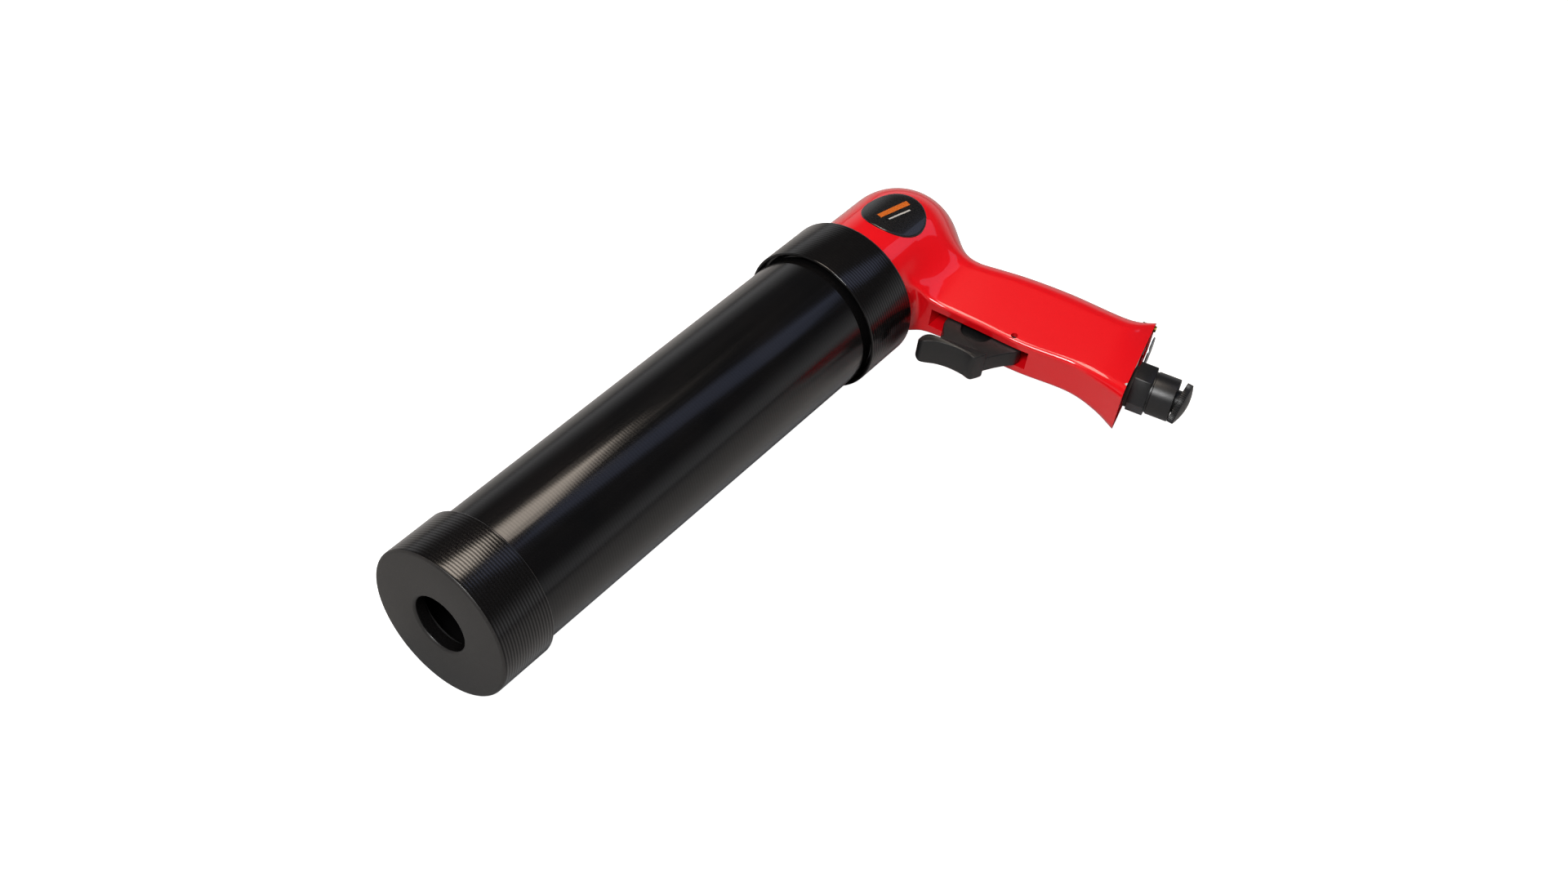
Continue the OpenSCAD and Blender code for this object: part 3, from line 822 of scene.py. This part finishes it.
def build_trigger():
    """The moulded trigger: a curved finger pad on a web with a round pocket in each side, and between the
    pockets a thin black skin, a dark sheet put as painted shade so the hole looks dark.
    """
    pad_half, web_half, shade_skin_half, sharp = 6.0, 3.6, 0.8, 38
    tip_start, tip_run = 43.8, 6.4
    bm = bmesh.new()
    pad = flowing([(39.0, -8.9), (38.1, -7.3), (38.2, -5.2), (39.8, -4.2), (44.5, -3.2), (51.0, -1.2),
                   (57.0, 0.5), (62.6, 2.2), (63.4, 1.4), (62.4, -1.2), (60.9, -3.2), (57.5, -3.0),
                   (54.0, -3.3), (50.5, -4.0), (46.5, -5.6), (43.2, -7.8), (41.0, -9.3)], 5)
    for v in slab(bm, pad, -pad_half, pad_half, 1.2, 4):
        tip = max(0.0, min(1.0, (tip_start - v.co.x) / tip_run))
        v.co.z *= math.sqrt(1 - 0.9 * tip * tip)
    web = [(63.3, 1.8), (64.2, 3.6), (65.6, 6.3), (67.6, 9.6), (70.3, 13.2), (70.9, 16.4), (69.8, 19.2),
           (66.5, 20.5), (62.0, 21.6), (58.0, 22.0), (46.5, 22.0), (44.0, 20.6), (42.2, 18.0), (40.4, 14.2),
           (39.6, 10.0), (40.2, 6.9), (41.8, 4.0), (43.6, 1.6), (44.4, -3.0), (51.0, -2.0), (62.8, 0.8)]
    slab(bm, web, -web_half, web_half, 0.45, 3)
    bmesh.ops.transform(bm, matrix=Matrix.Translation((0, REAR, 0)), verts=bm.verts)
    piece = finish_piece("trigger_lever", bm, ["nylon"], "trigger", ["trigger"], sharp)
    # the pockets stop at a thin black skin, painted shade that keeps the hole through the web dark
    for (x, y), radius, low, high in ((POCKET, 6.6, shade_skin_half, 5.5), (POCKET, 6.6, -5.5, -shade_skin_half),
                                      (PIVOT, 1.34, -9, 9)):
        drill(piece, radius, low, high, Matrix.Translation((x, y + REAR, 0)), 72, sharp)


# ---- inlet and plug ----


def ribbed(count, radius, depth, points=4):
    """A circle whose rim has count small ribs."""
    out = []
    for i in range(count * points):
        r = radius - (depth if i % points >= points // 2 else 0)
        angle = 2 * math.pi * i / (count * points)
        out.append((r * math.cos(angle), r * math.sin(angle)))
    return out


def build_inlet_fitting():
    """The hexagon bushing with its round socket."""
    bm = bmesh.new()
    corner_r = HEX_ACROSS / 2 / math.cos(math.pi / 6)
    hexagon = [(corner_r * math.cos(math.radians(30 + 60 * k)),
                corner_r * math.sin(math.radians(30 + 60 * k))) for k in range(6)]
    made = set(slab(bm, hexagon, 1.25, HEX_END))
    bmesh.ops.bevel(bm, geom=[e for e in bm.edges if set(e.verts) <= made], offset=0.3, segments=2,
                    profile=0.5, affect="EDGES", material=-1, clamp_overlap=True)
    turn(bm, rounded([(3.5, -10.5, 0.2), (6.55, -10.5, 0.5), (6.55, 2.0, 0), (3.5, 2.0, 0)]), steps=72)
    bore_r, neck_r = 5.95, 8.3
    turn(bm, rounded([
        (bore_r, 8.0, 0), (neck_r, 8.0, 0), (neck_r, 9.0, 0.2), (SOCKET_R, 9.2, 0.2),
        (SOCKET_R, SOCKET_END, 0.4), (bore_r, SOCKET_END, 0.4)]), steps=128)
    bmesh.ops.transform(bm, matrix=on_base(across_base("inlet_bushing")), verts=bm.verts)
    finish_piece("inlet_fitting", bm, ["black_oxide"], "housing", ["inlet_bushing"], 32)


def build_dust_plug():
    """The dust plug: a stem in the socket, and a leaning ribbed disc with a domed face."""
    sizes = bpy.context.scene.caulking_gun_sizes
    end = SOCKET_END
    bm = bmesh.new()
    turn(bm, rounded([(0, end - 9, 0), (5.7, end - 9, 0.6), (5.7, end - 0.2, 0.3), (4.6, end - 0.2, 0.1),
                      (4.6, end + 2.8, 0), (0, end + 2.8, 0)]), closed=False, steps=96)
    thick, dome_r, dome_height = 2.45, 8.2, 1.8
    disc = slab(bm, ribbed(60, 8.45, 0.32), 0, thick, 0.12, 2)
    dome = [(0, thick - 0.1), (dome_r, thick - 0.1)]
    for k in range(10):
        share = math.cos(math.radians(6 + 84 * k / 10))
        dome.append((dome_r * share, thick + dome_height * (1 - share ** 2)))
    crown = turn(bm, dome + [(0, thick + dome_height)], closed=False, steps=128)
    lean = (Matrix.Translation((0, 0, end + 1.25))
            @ Matrix.Rotation(sizes.plug_tilt, 4, Vector((0.68, 0.74, 0))))
    bmesh.ops.transform(bm, matrix=lean, verts=list(set(disc) | set(crown)))
    bmesh.ops.transform(bm, matrix=on_base(across_base("inlet_bushing")), verts=bm.verts)
    finish_piece("dust_plug_moulding", bm, ["nylon"], "plug", ["dust_plug"], 32)


def build_regulator():
    """The ribbed regulator knob with its screwdriver slot."""
    place = on_base(across_base("regulator_knob"))
    bm = bmesh.new()
    slab(bm, ribbed(32, KNOB_R, 0.4), -3.0, 1.5, 0.25, 2)
    face_r = KNOB_R - 0.9
    turn(bm, rounded([(0, 1.2, 0), (face_r, 1.2, 0), (face_r, 1.8, 0.35), (0, 1.8, 0)]),
         closed=False, steps=96)
    bmesh.ops.transform(bm, matrix=place, verts=bm.verts)
    piece = finish_piece("regulator_dial", bm, ["nickel"], "regulator", ["regulator_knob"], 32)
    groove = bmesh.new()
    made = slab(groove, [(-0.75, -6), (0.75, -6), (0.75, 6), (-0.75, 6)], 0.8, 3)
    bmesh.ops.transform(groove, matrix=place, verts=made)
    cut(piece, groove, 32)


# ---- stage ----


def softbox(name, place, target, size, power, shade_of_white):
    """A rectangular light that faces a target."""
    light = bpy.data.lights.new(name, "AREA")
    light.shape = "RECTANGLE"
    light.size, light.size_y = size
    light.energy = power
    light.color = linear(shade_of_white)[:3]
    holder = bpy.data.objects.new(name, light)
    holder.location = place
    holder.rotation_euler = (Vector(target) - Vector(place)).to_track_quat("-Z", "Y").to_euler()
    bpy.context.scene.collection.objects.link(holder)


def white_studio_paper():
    """Matt paper that looks pure white, and lights the object as a pale grey sheet would."""
    material, tree, shader, place = blank("white_studio_paper")
    colour(tree, shader, grain(tree, place, 3), "B4B4B4", "BEBEBE")
    shader.inputs["Roughness"].default_value = 0.9
    shader.inputs["Specular IOR Level"].default_value = 0.1
    shader.inputs["Emission Color"].default_value = linear("FFFFFF")
    seen = add(tree, "ShaderNodeLightPath")
    tree.links.new(seen.outputs["Is Camera Ray"], shader.inputs["Emission Strength"])
    return material


def studio_floor():
    """A wide floor under the object."""
    mesh = bpy.data.meshes.new("studio_floor")
    bm = bmesh.new()
    bmesh.ops.create_grid(bm, x_segments=1, y_segments=1, size=4)
    bmesh.ops.translate(bm, vec=(0, 0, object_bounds()[0].z), verts=bm.verts)
    bm.to_mesh(mesh)
    bm.free()
    mesh.materials.append(white_studio_paper())
    floor = bpy.data.objects.new("studio_floor", mesh)
    bpy.context.scene.collection.objects.link(floor)
    floor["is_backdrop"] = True


def studio_air():
    """The room: bright paper walls low down, and an unlit ceiling above them."""
    world = bpy.data.worlds.new("studio_air")
    world.use_nodes = True
    tree = world.node_tree
    back = next(n for n in tree.nodes if n.type == "BACKGROUND")
    way = add(tree, "ShaderNodeTexCoord")
    split = add(tree, "ShaderNodeSeparateXYZ", {}, {0: (way, "Generated")})
    walls = tint(tree, split, "D8D8DA", "3C3D40", output="Z")
    walls.color_ramp.elements[0].position = 0.12
    walls.color_ramp.elements[1].position = 0.42
    tree.links.new(walls.outputs[0], back.inputs["Color"])
    back.inputs["Strength"].default_value = 0.8
    bpy.context.scene.world = world


def studio_camera():
    """A camera over the nozzle end, looking back along the barrel and down."""
    lens = bpy.data.cameras.new("studio_camera")
    lens.lens = 47.96
    lens.sensor_width = 36
    lens.clip_start = 0.01
    heading, dip, roll = math.radians(30.92), math.radians(46.31), math.radians(9.57)
    aim = (Matrix.Rotation(heading, 4, "Z") @ Matrix.Rotation(math.pi / 2 - dip, 4, "X")
           @ Matrix.Rotation(roll, 4, "Z"))
    camera = bpy.data.objects.new("studio_camera", lens)
    camera.matrix_world = Matrix.Translation((0.304995, -0.310238, 0.556341)) @ aim
    bpy.context.scene.collection.objects.link(camera)
    bpy.context.scene.camera = camera


def build_stage():
    """White floor, soft lights and the camera."""
    bpy.context.scene.view_settings.view_transform = "Standard"
    studio_floor()
    studio_air()
    softbox("overhead_softbox", (-0.22, 0.25, 0.8), (0.02, 0.14, 0), (0.5, 0.34), 4.0, "FFF0E0")
    softbox("ceiling_panel", (0.36, 0.95, 1.15), (0.02, 0.2, 0), (0.4, 0.9), 0.85, "C8D4FF")
    softbox("front_softbox", (0.15, -0.55, 1.05), (0.06, 0.16, 0), (0.4, 0.4), 12.0, "FFFFFF")
    studio_camera()


def dress_inner_parts():
    """Materials of the CAD nodes that stay as they are."""
    for node, key in {
        "cap_cushion": "rubber", "barrel_gasket": "rubber", "trigger_pin": "black_oxide",
        "valve_sleeve": "brass", "valve_spool": "steel", "spool_seal_front": "rubber",
        "spool_seal_rear": "rubber", "valve_spring": "steel", "inlet_washer": "fibre",
        "inlet_screen": "steel", "regulator_needle": "steel", "regulator_seal": "rubber",
        "regulator_gland": "brass", "vent_screw": "old_brass",
    }.items():
        dress(node, key)
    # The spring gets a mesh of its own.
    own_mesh(frame["nodes"]["valve_spring"])


# ---- operators and panel ----


class CAULKINGGUN_OT_stage(bpy.types.Operator):
    """Adds the floor, the lights and the camera."""

    bl_idname = "caulkinggun.stage"
    bl_label = "Stage"

    def execute(self, context):
        build_stage()
        return {"FINISHED"}


class CAULKINGGUN_OT_inner_parts(bpy.types.Operator):
    """Dresses the parts inside the housing."""

    bl_idname = "caulkinggun.inner_parts"
    bl_label = "Inner Parts"

    def execute(self, context):
        dress_inner_parts()
        return {"FINISHED"}


class CAULKINGGUN_OT_barrel(bpy.types.Operator):
    """Adds the tube, the cap and the collar."""

    bl_idname = "caulkinggun.barrel"
    bl_label = "Barrel"

    def execute(self, context):
        build_barrel()
        return {"FINISHED"}


class CAULKINGGUN_OT_housing(bpy.types.Operator):
    """Adds the painted head and grip."""

    bl_idname = "caulkinggun.housing"
    bl_label = "Housing"

    def execute(self, context):
        build_housing()
        return {"FINISHED"}


class CAULKINGGUN_OT_badge(bpy.types.Operator):
    """Adds the badge on the head."""

    bl_idname = "caulkinggun.badge"
    bl_label = "Badge"

    def execute(self, context):
        build_badge()
        return {"FINISHED"}


class CAULKINGGUN_OT_trigger(bpy.types.Operator):
    """Adds the trigger."""

    bl_idname = "caulkinggun.trigger"
    bl_label = "Trigger"

    def execute(self, context):
        build_trigger()
        return {"FINISHED"}


class CAULKINGGUN_OT_inlet_fitting(bpy.types.Operator):
    """Adds the inlet fitting."""

    bl_idname = "caulkinggun.inlet_fitting"
    bl_label = "Inlet Fitting"

    def execute(self, context):
        build_inlet_fitting()
        return {"FINISHED"}


class CAULKINGGUN_OT_dust_plug(bpy.types.Operator):
    """Adds the dust plug in the mouth of the inlet."""

    bl_idname = "caulkinggun.dust_plug"
    bl_label = "Dust Plug"

    def execute(self, context):
        build_dust_plug()
        return {"FINISHED"}


class CAULKINGGUN_OT_regulator(bpy.types.Operator):
    """Adds the regulator knob."""

    bl_idname = "caulkinggun.regulator"
    bl_label = "Regulator"

    def execute(self, context):
        build_regulator()
        return {"FINISHED"}


OPERATORS = [
    CAULKINGGUN_OT_stage,
    CAULKINGGUN_OT_inner_parts,
    CAULKINGGUN_OT_barrel,
    CAULKINGGUN_OT_housing,
    CAULKINGGUN_OT_badge,
    CAULKINGGUN_OT_trigger,
    CAULKINGGUN_OT_inlet_fitting,
    CAULKINGGUN_OT_dust_plug,
    CAULKINGGUN_OT_regulator,
]


class CAULKINGGUN_PT_pieces(bpy.types.Panel):
    """The pieces of the caulking gun."""

    bl_label = "Caulking Gun"
    bl_idname = "CAULKINGGUN_PT_pieces"
    bl_space_type = "VIEW_3D"
    bl_region_type = "UI"
    bl_category = "Caulking Gun"

    def draw(self, context):
        for item in OPERATORS:
            self.layout.operator(item.bl_idname)
        for group in (context.scene.caulking_gun_sizes, context.scene.caulking_gun_colours):
            for key in group.__annotations__:
                self.layout.prop(group, key)


CLASSES = [CaulkingGunSizes, CaulkingGunColours, *OPERATORS, CAULKINGGUN_PT_pieces]


def register():
    for item in CLASSES:
        bpy.utils.register_class(item)
    bpy.types.Scene.caulking_gun_sizes = bpy.props.PointerProperty(type=CaulkingGunSizes)
    bpy.types.Scene.caulking_gun_colours = bpy.props.PointerProperty(type=CaulkingGunColours)


def unregister():
    del bpy.types.Scene.caulking_gun_colours
    del bpy.types.Scene.caulking_gun_sizes
    for item in reversed(CLASSES):
        bpy.utils.unregister_class(item)


def main():
    register()
    for item in OPERATORS:
        getattr(bpy.ops.caulkinggun, item.bl_idname.split(".")[1])()


if __name__ == "__main__":
    main()
